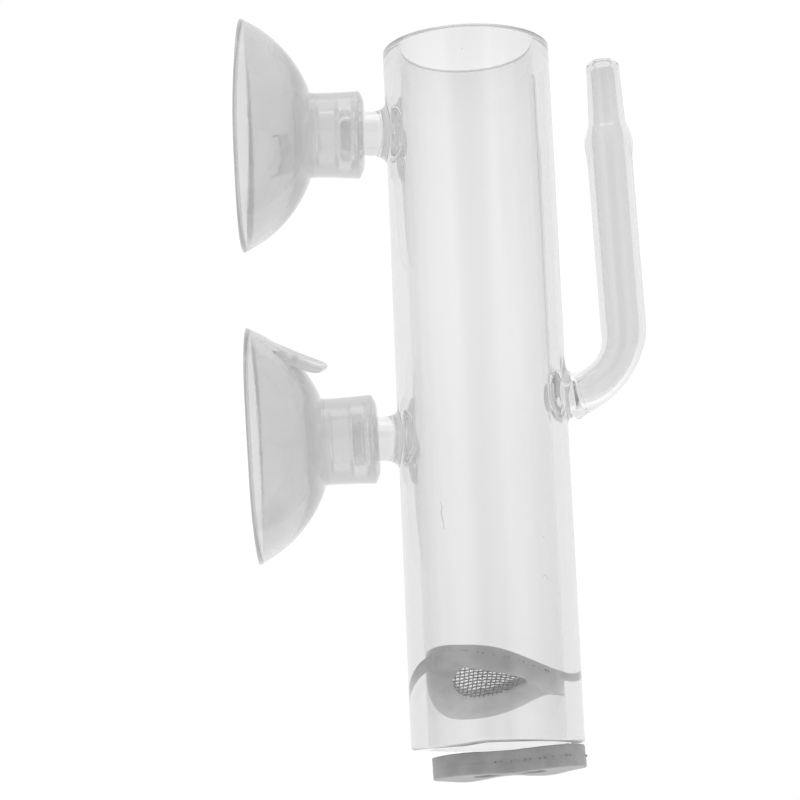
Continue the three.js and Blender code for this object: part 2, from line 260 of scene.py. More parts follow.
def centre_line(step=0.75):
    """Points and tangents, each with the outer half-thickness in and across the bend's plane, and the bore's radius in
    and across it.
    """
    out = []
    n = int(math.ceil((PHI1 - PHI0) * BEND_R / step))
    angles = [PHI0 + (PHI1 - PHI0) * i / n for i in range(n + 1)]
    knots_a = [math.radians(a) for a in (-77.7, -74.5, -70, -58, -45, -30, -18, -6, 1.3)]
    r_in = [4.38, 4.08, 3.80, 3.50, 3.42, 3.46, 3.62, 3.92, 4.03]
    r_across = [4.30, 4.15, 4.10, 4.20, 4.28, 4.25, 4.15, 4.05, 4.03]
    bore_in = [2.90, 2.82, 2.70, 2.45, 2.36, 2.40, 2.52, 2.70, 2.75]
    bore_across = [2.90, 2.90, 2.90, 2.95, 3.00, 2.98, 2.90, 2.82, 2.75]
    for a in angles:
        p = (BEND_C[0] + BEND_R * math.cos(a), BEND_C[1] + BEND_R * math.sin(a))
        t = (-math.sin(a), math.cos(a))
        out.append((p, t, *(float(np.interp(a, knots_a, k)) for k in (r_in, r_across, bore_in, bore_across))))
    p0, t0 = out[-1][0], out[-1][1]
    # heights are measured along Z
    z_knots = [72.8, 80, 90, 98, 101.5, 102.8, 103.7, 104.4, 105.4, 106.3, 107.2, 108.1, 108.9, 109.6, 110.3, 111.2, 113, 116, 119, 120.6]
    r_knots = [4.03, 4.03, 4.03, 4.03, 4.04, 4.06, 4.05, 4.10, 4.27, 4.36, 4.34, 4.19, 3.92, 3.62, 3.40, 3.29, 3.22, 3.11, 3.03, 3.00]
    b_knots = [2.75, 2.75, 2.75, 2.75, 2.75, 2.75, 2.74, 2.74, 2.74, 2.72, 2.66, 2.56, 2.42, 2.30, 2.20, 2.12, 2.05, 2.0, 2.0, 2.0]
    z = p0[1]
    top = SPIGOT_TOP
    zs = list(np.arange(z + step, 101.0, 1.1)) + list(np.arange(101.2, 112.5, 0.32)) + list(np.arange(112.8, top - 1.9, 0.8))
    for z in zs:
        s = z - p0[1]
        out.append(((p0[0] - s * math.tan(LEAN), z), t0,
                    *(float(np.interp(z, z_knots, k)) for k in (r_knots, r_knots, b_knots, b_knots))))
    return out


LINE = centre_line()


def ring_at(point, tangent, r_plane, r_across, psi):
    """A ring square to the centre line; psi 0 is +Y, psi 90 degrees is up and back from the tangent."""
    nx, nz = -tangent[1], tangent[0]
    return [(point[0] + r_plane * math.sin(s) * nx, r_across * math.cos(s), point[1] + r_plane * math.sin(s) * nz)
            for s in psi]


def glass_body():
    b = Build()
    peg_z = {w: c["z"] - TZ for w, c in cups.items()}
    half = 12
    specs = [
        {"name": "upper", "i": NT // 2, "side": -1, "half": half, "j0": row_at(peg_z["upper"] - 7.6), "j1": row_at(peg_z["upper"] + 7.6)},
        {"name": "lower", "i": NT // 2, "side": -1, "half": half, "j0": row_at(peg_z["lower"] - 7.6), "j1": row_at(peg_z["lower"] + 7.6)},
        {"name": "inlet", "i": 0, "side": 1, "half": half, "j0": row_at(63.2 - 9.4), "j1": row_at(63.2 + 9.4)},
    ]
    low_o, high_o, loops_o = wall(b, TUBE_R, specs)
    low_i, high_i, loops_i = wall(b, BORE_R, [specs[2]])

    # rims, rounded by the flame
    def rim(loop_out, loop_in, z, up):
        ro, ri, c = TUBE_R, BORE_R, RIM
        section = [(ro - c * (1 - math.cos(a)), c * math.sin(a) * 0.93) for a in (math.pi / 2 * m / 5 for m in range(1, 6))]
        section += [(ro - c - (ro - ri - 2 * c) * t, c * (0.93 + 0.07 * math.sin(math.pi * t))) for t in (0.2, 0.4, 0.6, 0.8)]
        section += [(ri + c * (1 - math.sin(a)), c * math.cos(a) * 0.93) for a in (math.pi / 2 * m / 5 for m in range(0, 5))]
        rings = [[(r * math.cos(2 * math.pi * i / NT), r * math.sin(2 * math.pi * i / NT), z + up * h) for i in range(NT)] for r, h in section]
        loops = b.rings(rings)
        b.strip(loop_out, loops[0])
        b.strip(loops[-1], loop_in)

    rim(low_o, low_i, RIM, -1)
    rim(high_o, high_i, TUBE_L - RIM, 1)

    # pegs: hollow glass stubs with a beaded open end, drawn out of the wall
    for spec, loop in zip(specs[:2], loops_o[:2]):
        zc = peg_z[spec["name"]]
        end = cups[spec["name"]]["end"] - TX            # the bead's end, about -23.2
        psi = loop["psi"]
        grow = 1.0 if spec["name"] == "lower" else 1.03
        foot = (5.35, 5.5, zc - 0.15) if spec["name"] == "lower" else (5.5, 5.6, zc - 0.2)

        def circle(x, r, zc=zc):
            return [(x, r * math.cos(s), zc + r * math.sin(s)) for s in psi]

        start = -16.9
        last = bridge(b, loop, -1, TUBE_R, foot, circle(start, 3.98 * grow), (-1, 0, 0), 0.75, 0.9,
                      wobble=0.05, seed=3.0 + zc)
        profile = [(-17.3, 3.96 * grow), (-18.0, 3.96 * grow), (-19.0, 3.96), (-20.0, 3.95), (end + 2.55, 3.95), (end + 2.3, 4.0),
                   (end + 2.1, 4.2), (end + 1.85, 4.45), (end + 1.5, 4.62), (end + 1.1, 4.68), (end + 0.7, 4.62),
                   (end + 0.35, 4.42), (end + 0.1, 4.1), (end + 0.0, 3.75), (end + 0.1, 3.4), (end + 0.35, 3.15), (end + 0.8, 3.02),
                   (end + 1.6, 3.0), (end + 2.0, 2.98), (end + 2.4, 2.9), (end + 2.75, 2.7), (end + 3.0, 2.4), (end + 3.15, 2.0), (end + 3.22, 1.5), (end + 3.25, 0.8)]
        loops = b.rings([circle(x, r) for x, r in profile])
        b.strip(last, loops[0])
        b.fan(loops[-1], (end + 3.26, 0, zc))

    # inlet: outer skin from the wall to the spigot's lip, then back down inside
    psi = loops_o[2]["psi"]
    first = LINE[0]
    d = (first[1][0], 0, first[1][1])
    target = ring_at(first[0], first[1], 4.42, 4.32, psi)
    last = bridge(b, loops_o[2], 1, TUBE_R, (5.9, 7.5, 62.9), target, d, 2.3, 0.75, spread=5, steps=16, wobble=0.04, seed=9.0)
    outer = []
    for k, (p, t, rp, ra, bp, ba) in enumerate(LINE[1:]):
        # the weld leaves a shallow waist where the J starts
        waist = 0.10 * math.exp(-((k - 0.2) / 0.9) ** 2)
        outer.append(ring_at(p, t, rp - waist, ra - waist, psi))
    # the spigot's fire-polished lip
    p, t, rp, ra, bp, ba = LINE[-1]
    lip = []
    for r, z in ((2.98, -1.15), (2.93, -0.85), (2.84, -0.58), (2.70, -0.34), (2.52, -0.16), (2.30, -0.04), (2.08, 0.0), (1.88, -0.07), (1.72, -0.24),
                 (1.64, -0.50), (1.66, -0.85), (1.78, -1.3), (1.95, -1.75)):
        h = SPIGOT_TOP - 0.25 + z - p[1]
        lip.append(ring_at((p[0] - h * math.tan(LEAN), p[1] + h), t, r, r, psi))
    # the bore narrows where the J is welded on
    neck = [1 - 0.28 * math.exp(-(k / 5.0) ** 2) for k in range(len(LINE))]
    inner = [ring_at(p, t, bp * q, ba * q, psi) for (p, t, rp, ra, bp, ba), q in reversed(list(zip(LINE, neck)))]
    loops = b.rings(outer + lip + inner)
    b.strip(last, loops[0])
    hole = bridge(b, loops_i[0], 1, BORE_R, (2.9, 3.1, 60.9), ring_at(first[0], first[1], 2.11, 2.11, psi), d, 0.7, 1.6, spread=6, steps=12, wobble=0.04, seed=5.0)
    b.strip(hole, loops[-1])

    # --- the hand of the glass worker: waves, a dished weld, a low spot on the mouth
    v = np.array(b.v)
    r = np.hypot(v[:, 0], v[:, 1])
    ang = np.arctan2(v[:, 1], v[:, 0])
    main = (r < TUBE_R + 0.05) & (r > BORE_R - 0.05)
    unit = np.stack([np.cos(ang), np.sin(ang), np.zeros_like(ang)], 1)
    n1 = np.array([noise.noise((math.cos(a) * 1.6, math.sin(a) * 1.6, z * 0.012 + (7.0 if q < 13.5 else 0.0))) for a, z, q in zip(ang, v[:, 2], r)])
    n2 = np.array([noise.noise((math.cos(a) * 4.5, math.sin(a) * 4.5, z * 0.05 + 20)) for a, z in zip(ang, v[:, 2])])
    wave = np.where(main, np.where(r < 13.5, 0.008 * n1 + 0.003 * n2, 0.035 * n1 + 0.010 * n2), 0.0)
    # inside, the wall swells a little behind each peg
    inside = main & (r < BORE_R + 0.05)
    for w, zc in peg_z.items():
        yy, zz = v[:, 1], v[:, 2] - zc
        rr = np.hypot(yy, zz)
        near = inside & (v[:, 0] < 0)
        swell = 0.12 * np.exp(-(rr / 3.8) ** 2) - 0.07 * np.exp(-((rr - 4.9) / 1.0) ** 2)
        swell *= 1 + 0.5 * np.array([noise.noise((y * 0.35, z * 0.35, zc)) for y, z in zip(yy, zz)])
        wave -= np.where(near, swell, 0.0)
    v = v + unit * wave[:, None]
    # the lower mouth dips by about a millimetre on its near left side
    c = np.cos(ang)
    left = smooth01((-c - 0.12) / 0.42)
    dip = np.where(np.sin(ang) < 0, -0.42 * left * smooth01((-np.sin(ang) + 0.05) / 0.3), 0.0) - 0.10 * (1 + c) * 0.5
    fall = np.where(main & (v[:, 2] < 9), (1 - np.clip(v[:, 2], 0, 9) / 9) ** 2, 0.0)
    v[:, 2] += dip * fall
    b.v = [tuple(p) for p in v]
    return b


def cavities():
    """Bubbles and air lines caught in the welds and in the wall: closed hollows inside the glass."""
    b = Build()

    def worm(points, radius, sides=8):
        pts = [Vector(p) for p in points]
        n = len(pts)
        ref = Vector((0.3, 0.5, 0.81))
        rings = []
        for i, p in enumerate(pts):
            t = (pts[min(i + 1, n - 1)] - pts[max(i - 1, 0)]).normalized()
            e1 = t.cross(ref).normalized()
            e2 = t.cross(e1)
            s = math.sin(math.pi * (i + 0.6) / (n + 0.2)) ** 0.5
            rings.append([tuple(p + (e1 * math.cos(a) + e2 * math.sin(a)) * radius * s) for a in (2 * math.pi * k / sides for k in range(sides))])
        loops = b.rings(rings)
        b.fan(loops[0], tuple(pts[0] - (pts[1] - pts[0]) * 0.15))
        b.fan(loops[-1], tuple(pts[-1] + (pts[-1] - pts[-2]) * 0.15))

    def arc(fn, a0, a1, r, steps, jitter, seed):
        out = []
        for i in range(steps + 1):
            a = math.radians(a0 + (a1 - a0) * i / steps)
            x, y, z = fn(a)
            j = [jitter * noise.noise((seed + 3.1 * q, i * 0.6, seed)) for q in range(3)]
            out.append((x + j[0], y + j[1], z + j[2]))
        worm(out, r)

    # welds of the pegs: a broken line of air just under the fillet
    for w, c in cups.items():
        zc = c["z"] - TZ
        k = 0 if w == "upper" else 50
        for a0, a1, rr, x, r in ((150, 196, 4.0, -15.2, 0.07), (214, 238, 4.2, -15.1, 0.06), (300, 332, 4.1, -15.2, 0.06)):
            arc(lambda a, rr=rr, x=x, zc=zc: (x + 0.14 * rr * rr / 18 * (math.cos(a) ** 2), rr * math.cos(a), zc + rr * math.sin(a)), a0, a1, r, 9, 0.22, k + a0)
    # weld of the J, in the middle of its wall
    p, t = LINE[1][0], LINE[1][1]
    for a0, a1, off, r in ((150, 178, 0.05, 0.05), (186, 200, -0.06, 0.05), (208, 226, 0.08, 0.06), (236, 246, 0.1, 0.09), (252, 262, -0.1, 0.08)):
        arc(lambda a, off=off: ring_at((p[0] + off * t[0], p[1] + off * t[1]), t, 3.68, 3.68, [a])[0], a0, a1, r, 8, 0.16, a0)
    # air lines drawn along the tube's wall, and a few seeds
    mid = TUBE_R - 0.8

    def on_wall(x, z, near=True):
        y = -math.sqrt(mid * mid - x * x) * (1 if near else -1)
        return (x, y, z)

    worm([on_wall(-8.0, 41.0), on_wall(-7.82, 40.3), on_wall(-7.95, 39.4), on_wall(-7.9, 38.6), on_wall(-7.72, 37.8), on_wall(-7.68, 37.0), on_wall(-7.6, 36.2)], 0.13)
    worm([on_wall(8.35, 27.3), on_wall(8.5, 27.7), on_wall(8.75, 27.9), on_wall(9.0, 27.75), on_wall(9.15, 27.3), on_wall(9.2, 26.9)], 0.07)
    worm([on_wall(8.75, 34.2), on_wall(8.85, 34.4), on_wall(9.0, 34.5)], 0.09)
    worm([on_wall(-12.4, 103.5), on_wall(-12.2, 102.9), on_wall(-12.0, 102.2), on_wall(-11.9, 101.7)], 0.09)
    for x, z, r in ((-1.0, 120.9, 0.11), (-5.6, 64.0, 0.06), (3.9, 92.0, 0.05), (-9.2, 77.8, 0.07), (6.2, 51.0, 0.05), (-3.0, 30.5, 0.05), (10.4, 70.2, 0.06)):
        worm([on_wall(x, z - r * 0.9), on_wall(x, z - r * 0.3), on_wall(x, z + r * 0.3), on_wall(x, z + r * 0.9)], r)
    return b


outer_me = glass_body().mesh("glass_body", g_to_row)
hollow_me = cavities().mesh("glass_hollows", g_to_row, outward=False)
bm = bmesh.new()
bm.from_mesh(outer_me)
bm.from_mesh(hollow_me)
glass_me = bpy.data.meshes.new("glass_body_mesh")
bm.to_mesh(glass_me)
bm.free()
for p in glass_me.polygons:
    p.use_smooth = True
glass = object_of("glass_body", glass_me)
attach(glass, "glass")
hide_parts("main_tube", "upper_peg", "lower_peg", "inlet_tube", "hose_spigot")


# ---------------------------------------------------------------------------
# Suction cups: one soft moulding each, with a crowned collar, a grooved socket
# and a pull tab. Local frame: depth from the lip along +X, tab towards +Z.
# ---------------------------------------------------------------------------
def lathe_x(profile, segments, b=None):
    """A (depth, radius) profile turned round X; a radius of 0 closes it."""
    b = b or Build()
    rings, caps = [], {}
    for k, (d, r) in enumerate(profile):
        if r <= 1e-9:
            caps[k] = (d, 0, 0)
        else:
            rings.append((k, [(d, r * math.cos(2 * math.pi * i / segments), r * math.sin(2 * math.pi * i / segments)) for i in range(segments)]))
    loops = b.rings([r for _, r in rings])
    if 0 in caps:
        b.fan(loops[0], caps[0])
    if len(profile) - 1 in caps:
        b.fan(loops[-1], caps[len(profile) - 1])
    return b


def resample(points, step):
    out = [points[0]]
    for (d0, r0), (d1, r1) in zip(points, points[1:]):
        n = max(1, int(round(math.hypot(d1 - d0, r1 - r0) / step)))
        out += [(d0 + (d1 - d0) * i / n, r0 + (r1 - r0) * i / n) for i in range(1, n + 1)]
    return out


def rounded(points, radius, steps=4):
    """Cuts each inner corner of a polyline with a small arc."""
    out = [points[0]]
    for a, p, c in zip(points, points[1:], points[2:]):
        a, p, c = Vector(a), Vector(p), Vector(c)
        u, w = (a - p), (c - p)
        r = min(radius, u.length * 0.45, w.length * 0.45)
        s, e = p + u.normalized() * r, p + w.normalized() * r
        for i in range(steps + 1):
            t = i / steps
            q = s * (1 - t) ** 2 + p * 2 * t * (1 - t) + e * t * t
            out.append((q.x, q.y))
    out.append(points[-1])
    return out


def hollow_line():
    """The cup's inside from apex to lip: the wall thins towards the skirt and is even along it."""
    pts = []
    for i in range(0, 33):
        a = math.acos(9.05 / 22.12) * i / 32
        r = 22.82 - (0.70 + 1.25 * (1 - step(a, 0.0, math.radians(54))))
        pts.append((-9.05 + r * math.cos(a), r * math.sin(a)))
    pts[0] = (pts[0][0], 0.0)
    return pts


def cup_mesh(name):
    OR, OC = 22.82, -9.05
    prof = hollow_line()
    prof += [(0.0, 20.72), (0.0, 20.84), (0.06, 20.93), (0.18, 20.94), (0.34, 20.9)]
    oa0, oa1 = math.asin(20.78 / OR), math.asin(8.35 / OR)
    for i in range(1, 27):
        a = oa0 + (oa1 - oa0) * i / 26
        prof.append((OC + OR * math.cos(a), OR * math.sin(a)))
    tail = [prof[-1], (12.3, 7.66), (13.2, 7.60), (16.5, 7.64), (19.6, 7.78), (21.05, 7.86), (21.35, 7.62), (21.95, 6.4), (22.15, 5.0), (22.1, 4.35), (21.6, 4.16),
            (20.7, 4.16), (20.2, 4.45), (19.85, 4.86), (17.6, 4.86), (17.3, 4.62), (17.1, 4.28), (16.8, 4.16), (14.0, 4.12), (13.55, 3.9), (13.45, 3.3), (13.45, 0.0)]
    tail = rounded(tail, 0.22, 3)
    prof += resample(tail[1:-1], 0.45) + [tail[-1]]
    b = lathe_x(prof, 128)
    v = np.array(b.v)
    # moulded softness: the skirt isn't a perfect circle, and its lip is a little wavy
    ang = np.arctan2(v[:, 2], v[:, 1])
    rad = np.hypot(v[:, 1], v[:, 2])
    skirt = smooth01((rad - 9) / 11) * (v[:, 0] < 12.4)
    k = 0.09 * np.sin(2 * ang + 0.7) + 0.05 * np.sin(3 * ang - 1.1)
    v[:, 1] *= 1 + skirt * k / 21
    v[:, 2] *= 1 + skirt * k / 21
    v[:, 0] += skirt * (0.10 * np.sin(2 * ang + 1.9) + 0.05 * np.sin(5 * ang)) * 0.8
    b.v = [tuple(p) for p in v]
    me = b.mesh(name)
    return me


def tab_mesh(name):
    """The pull tab: a tongue that leaves the dome near the lip and stands off it, in the local frame."""
    L0, L1 = (3.6, 17.9), (13.2, 12.85)
    length = math.hypot(L1[0] - L0[0], L1[1] - L0[1])
    slope = math.atan2(L1[1] - L0[1], L1[0] - L0[0])
    w, rc = 4.0, 2.2
    nu = 22
    outline = []
    for i in range(nu + 1):
        outline.append((length * i / nu * (1 - rc / length), -w * (0.97 + 0.03 * i / nu)))
    for i in range(1, 9):
        a = -math.pi / 2 + math.pi / 2 * i / 8
        outline.append((length - rc + rc * math.cos(a), -(w - rc) + rc * math.sin(a)))
    right = [(x, -y) for x, y in reversed(outline)]
    loop = outline + right[0:]
    # three stacked loops give the moulded edge its round
    b = Build()
    cx = sum(p[0] for p in loop) / len(loop)
    t = 0.55

    def lift(x, y, z):
        # a slight upward curl towards the tip, and a slight crown across
        curl = 0.10 * (x / length) ** 2 * 3.0
        return (x, y, z + curl - 0.012 * y * y)

    levels = [(-t, 0.30), (-t * 0.75, 0.10), (-t * 0.3, 0.0), (t * 0.3, 0.0), (t * 0.75, 0.10), (t, 0.30)]
    rings = []
    for z, inset in levels:
        ring = []
        for x, y in loop:
            sx = x - inset * (1 if x > length * 0.6 else 0) * ((x - length * 0.6) / (length * 0.4))
            sy = y * (1 - inset / w)
            ring.append(lift(sx + 0.26 * y * step(x, 0.35 * length, length), sy, z))
        rings.append(ring)
    loops = b.rings(rings)
    n = len(loop)
    # close top and bottom with quads between the two long sides
    for lp in (loops[0], loops[-1]):
        for i in range(n // 2 - 1):
            b.f.append((lp[i], lp[i + 1], lp[n - 2 - i], lp[n - 1 - i]))
    me = b.mesh(name)
    m = Matrix.Translation((L0[0], 0, L0[1])) @ Matrix.Rotation(-slope, 4, "Y")
    me.transform(m)
    return me


def make_cup(which, turn_deg, lean_deg, shift):
    cup = object_of(which + "_cup_moulding", cup_mesh(which + "_cup_mesh"))
    tab = object_of(which + "_tab_tmp", tab_mesh(which + "_tab_mesh"))
    # the tab's root stays inside the dome's skin
    hollow = [(x + 0.25, r) for x, r in hollow_line()]
    hollow += [(-4.0, 20.2), (-4.0, 0.0)]
    core = object_of(which + "_core_tmp", lathe_x(hollow, 96).mesh(which + "_core_mesh"))
    m = tab.modifiers.new("cut", "BOOLEAN")
    m.operation, m.object, m.solver = "DIFFERENCE", core, "EXACT"
    evaluated(tab)
    m = cup.modifiers.new("join", "BOOLEAN")
    m.operation, m.object, m.solver = "UNION", tab, "EXACT"
    evaluated(cup)
    for o in (tab, core):
        bpy.data.objects.remove(o)
    z = cups[which]["z"]
    pivot = Vector((19.4, 0, 0))
    lean = Matrix.Translation(pivot) @ Matrix.Rotation(math.radians(lean_deg), 4, "Y") @ Matrix.Translation(-pivot)
    place = Matrix.Translation((CUP_LIP_X + shift, 0, z)) @ lean @ Matrix.Rotation(math.radians(turn_deg), 4, "X")
    cup.data.transform(Matrix.Scale(0.001, 4) @ place)
    for p in cup.data.polygons:
        p.use_smooth = True
    cup.data.update()
    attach(cup, which + "_cup")
    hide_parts(which + "_suction_cup")
    return cup


upper_cup = make_cup("upper", -87, 1.9, -0.2)
lower_cup = make_cup("lower", 24, -1.1, 0.25)


# ---------------------------------------------------------------------------
# Mesh screens: two silicone rings with a plain-woven wire disc between them.
# Local frame: the screen's own plane, +Z its normal.
# ---------------------------------------------------------------------------
def screen_matrix(prefix):
    """Where a screen lies, from its CAD wire disc: centre and normal."""
    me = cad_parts[prefix + "_mesh"].data
    co = np.array([v.co for v in me.vertices]) * 1000
    c = (co.min(0) + co.max(0)) / 2
    q = co - co.mean(0)
    _, _, vt = np.linalg.svd(q, full_matrices=False)
    n = Vector(vt[2])
    if n.z < 0:
        n = -n
    rot = Vector((0, 0, 1)).rotation_difference(n).to_matrix().to_4x4()
    return Matrix.Translation(Vector(c)) @ rot


SHAPE = [(0, 0, 10.591), (0, 1, -4.528), (0, 2, -1.673), (0, 3, 1.707), (0, 4, -0.190), (1, 0, -0.363), (1, 1, 4.970), (1, 2, -0.043), (1, 3, -2.443), (2, 0, -4.788), (2, 1, 2.127), (2, 2, 3.136), (3, 0, -0.232), (3, 1, 0.057), (4, 0, 3.099)]


def bent(x, y):
    """Height of the bent screen's underside above the tube's mouth; the rim curls with the bore."""
    u, v = x / 12.0, y / 12.0
    r = math.hypot(u, v)
    if r > 1:
        u, v = u / r, v / r
    return sum(c * u ** i * v ** j for i, j, c in SHAPE)


MID = 1.95      # the wire cloth's height above the underside


def ring_mesh(name, z0, z1, seed, ro=13.2, ri=6.35, radius=None, thin=0.0, off=0.0):
    """A silicone ring from height z0 to z1, with soft corners and slightly uneven faces."""
    e = 0.26
    corners = [(ri, z0), (ro, z0), (ro, z1), (ri, z1)]
    section = []
    for k in range(4):
        p, a, c = Vector(corners[k]), Vector(corners[k - 1]), Vector(corners[(k + 1) % 4])
        # the faces that touch the cloth meet the rim nearly square
        r = e if abs(p.y) > 0.5 else 0.012
        s, t = p + (a - p).normalized() * r, p + (c - p).normalized() * r
        for i in range(5):
            u = i / 4
            q = s * (1 - u) ** 2 + p * 2 * u * (1 - u) + t * u * u
            section.append((q.x, q.y))
        nxt = c + (p - c).normalized() * (e if abs(c.y) > 0.5 else 0.012)
        m = 9 if k in (0, 2) else 6
        for i in range(1, m):
            q = t.lerp(nxt, i / m)
            section.append((q.x, q.y))
    n = 192
    b = Build()
    rings = []
    for i in range(n):
        a = 2 * math.pi * i / n
        ring = []
        for r, z in section:
            f = 0.06 * noise.noise((math.cos(a) * 2.2 + seed, math.sin(a) * 2.2, r * 0.12)) + 0.03 * noise.noise((math.cos(a) * 9, math.sin(a) * 9 + seed, r * 0.6))
            g = 0.09 * noise.noise((math.cos(a) * 1.8, math.sin(a) * 1.8 + seed * 2, 3.0))
            rr = r + (g if r > 9 else g * 0.5)
            if radius and r > ro - 0.6:
                rr = radius(a, z, r - ro)
            if abs(z) > 0.5:
                z = z * (1 - thin * step(9.8 - r, 0.0, 3.0)) + f
            ring.append((rr * math.cos(a) + off * (1 - step(r, ri, 11.0)), rr * math.sin(a), z))
        rings.append(ring)
    loops = [b.add(r) for r in rings]
    for i in range(n):
        b.strip(loops[i], loops[(i + 1) % n])
    return b.mesh(name)


def weave_mesh(name, radius=13.0, pitch=0.62, wire=0.112, open_r=6.9, turn=0.0, seed=1, proud=None, dish=0.0, crimp=1.0, rise=0.0):
    """Plain weave: every wire bends over and under its neighbours. The wires are fine where they show and simple inside the silicone, and some stand proud of the rim."""
    b = Build()
    n = int(radius / pitch)
    amp = wire * crimp
    sides = 6
    for family in (0, 1):
        for k in range(-n, n + 1):
            off = (k + 0.5) * pitch + 0.04 * noise.noise((k * 0.7, family * 9.0, seed))
            if abs(off) >= radius:
                continue
            end = math.sqrt(radius * radius - off * off)

            def reach(sign):
                x, y = (sign * end, off) if family == 0 else (off, sign * end)
                c, sn = math.cos(turn), math.sin(turn)
                return end + (proud(math.atan2(x * sn + y * c, x * c - y * sn), k + 31 * family) if proud else 0.0)

            lo, hi = -reach(-1), reach(1)
            show = math.sqrt(max(open_r * open_r - off * off, 0))
            ts = []
            t = lo
            while t < hi - 0.05:
                ts.append(t)
                t += pitch / 5 if abs(t) < show else pitch * 1.3
            ts.append(hi)
            rings = []
            for t in ts:
                phase = math.pi * (t / pitch - 0.5) + math.pi * k + (math.pi if family else 0)
                z = amp * math.sin(phase + math.pi / 2) if abs(t) < show + pitch else 0.0
                bow = 0.22 * noise.noise((t * 0.13, k * 0.10, family + seed))
                # inside the hole the cloth tips a little further than the rings
                r = math.hypot(t, off)
                across = off * math.cos(turn) + t * math.sin(turn) if family == 0 else t * math.cos(turn) + off * math.sin(turn)
                z += dish * across * (1 - step(r, 6.2, 8.5)) + 0.12 * noise.noise((t * 0.2 + family, off * 0.2, seed + 8)) + rise * step(r, 9.4, 11.3)
                c = (t, off + bow, z) if family == 0 else (off + bow, t, z)
                ring = []
                for q in range(sides):
                    a = 2 * math.pi * q / sides
                    du, dz = wire * math.cos(a), wire * math.sin(a)
                    ring.append((c[0], c[1] + du, c[2] + dz) if family == 0 else (c[0] + du, c[1], c[2] + dz))
                rings.append(ring)
            loops = b.rings(rings)
            b.f.append(tuple(loops[0]))
            b.f.append(tuple(loops[-1][::-1]))
    me = b.mesh(name)
    me.transform(Matrix.Rotation(turn, 4, "Z"))
    return me


def near_azimuth(a):
    """Degrees from the viewer's side of the tube, to the right."""
    return math.degrees(math.atan2(math.cos(a), -math.sin(a)))


def squeezed_rim(a, z, inset):
    """Radius of the inner screen's rim. z is measured from the cloth. Where the silicone wets the glass it reaches just past the bore's surface; elsewhere a film of air is left."""
    az = near_azimuth(a)
    h = z + MID
    apart, touch = 11.86, 12.07
    if az < -52:
        # left: the lower part of the rim touches
        on = step(h, 0.05, 0.25) * (1 - step(h, 2.55, 2.75)) * step(az, -118, -104)
    elif az > 50:
        # right: only the upper lip touches
        on = step(h, 2.35, 2.6) * (1 - step(az, 104, 118))
    else:
        on = 0.0
    on *= 1 - step(abs(az), 150, 170)
    base = apart + (touch - apart) * on
    return base + inset * (0.3 if on > 0.5 else 1.0)


def finish_screen(prefix, body, meshes, place):
    made = []
    for kind, me in zip(("upper_ring", "lower_ring"), meshes[:2]):
        o = object_of(f"{prefix}_{kind}_silicone", me)
        place(o.data)
        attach(o, body)
        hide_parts(f"{prefix}_{kind}")
        made.append(o)
    o = object_of(f"{prefix}_wire_cloth", meshes[2])
    place(o.data)
    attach(o, body)
    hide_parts(f"{prefix}_mesh")
    made.append(o)
    return made


def place_bent(me):
    co = np.zeros(len(me.vertices) * 3, np.float64)
    me.vertices.foreach_get("co", co)
    co = co.reshape(-1, 3)
    co[:, 2] += np.array([bent(x, y) + MID for x, y in co[:, :2]])
    me.vertices.foreach_set("co", g_to_row(co).astype(np.float32).ravel())
    me.update()


def place_flat(me):
    # the loose screen has taken a slight wave
    for v in me.vertices:
        x, y, z = v.co
        k = max(0.0, 1 - (abs(x) / 13.4) ** 4)
        v.co.z += k * (step(y, -1, 9) * (0.30 * math.cos(2 * math.pi * x / 15.2) - 0.06) - 0.46 * step(-y, 2, 11) * math.exp(-(x / 6.0) ** 2))
    me.transform(Matrix.Scale(0.001, 4) @ screen_matrix("lower_screen"))
    me.update()


def inner_proud(a, k):
    az = near_azimuth(a)
    if abs(az) > 48:
        return -0.3
    return 0.10 + 0.16 * math.sin(k * 2.3) + 0.06 * math.sin(k * 5.1)


def lower_proud(a, k):
    az = near_azimuth(a)
    if -14 < az < 20 and math.sin(k * 1.9) > -0.7:
        return 0.55 + 0.14 * math.sin(k * 1.3)
    if 20 <= az < 60 and math.sin(k * 2.3) > 0.1:
        return 0.38 + 0.06 * math.sin(k * 1.3)
    return 0.42 if 80 < az < 98 else -0.3


inner_parts = finish_screen("inner_screen", "inner_screen", [
    ring_mesh("inner_upper", 0.0, 1.95, 2.0, ro=12.0, ri=6.5, radius=squeezed_rim, thin=0.5, off=-0.85),
    ring_mesh("inner_lower", -1.95, 0.0, 5.7, ro=12.0, ri=6.5, radius=squeezed_rim, thin=0.5, off=-0.85),
    weave_mesh("inner_weave", radius=11.8, pitch=0.80, wire=0.12, turn=math.radians(8), seed=2.0, proud=inner_proud, dish=-0.08, crimp=0.45, rise=1.05)], place_bent)
lower_parts = finish_screen("lower_screen", "lower_screen", [
    ring_mesh("lower_upper", 0.0, 1.92, 6.0),
    ring_mesh("lower_lower", -1.92, 0.0, 9.7),
    weave_mesh("lower_weave", pitch=0.84, wire=0.15, turn=math.radians(12), seed=6.0, proud=lower_proud)], place_flat)


# ---------------------------------------------------------------------------
# Materials
# ---------------------------------------------------------------------------
def material(name):
    m = bpy.data.materials.new(name)
    m.use_nodes = True
    nt = m.node_tree
    bsdf = nt.nodes["Principled BSDF"]
    return m, nt, bsdf


def node(nt, kind, **props):
    n = nt.nodes.new(kind)
    for k, v in props.items():
        setattr(n, k, v)
    return n


def ramp(nt, stops):
    r = node(nt, "ShaderNodeValToRGB")
    r.color_ramp.interpolation = "EASE"
    els = r.color_ramp.elements
    while len(els) < len(stops):
        els.new(0.5)
    for e, (pos, col) in zip(els, stops):
        e.position = pos
        e.color = (*col, 1.0) if len(col) == 3 else col
    return r


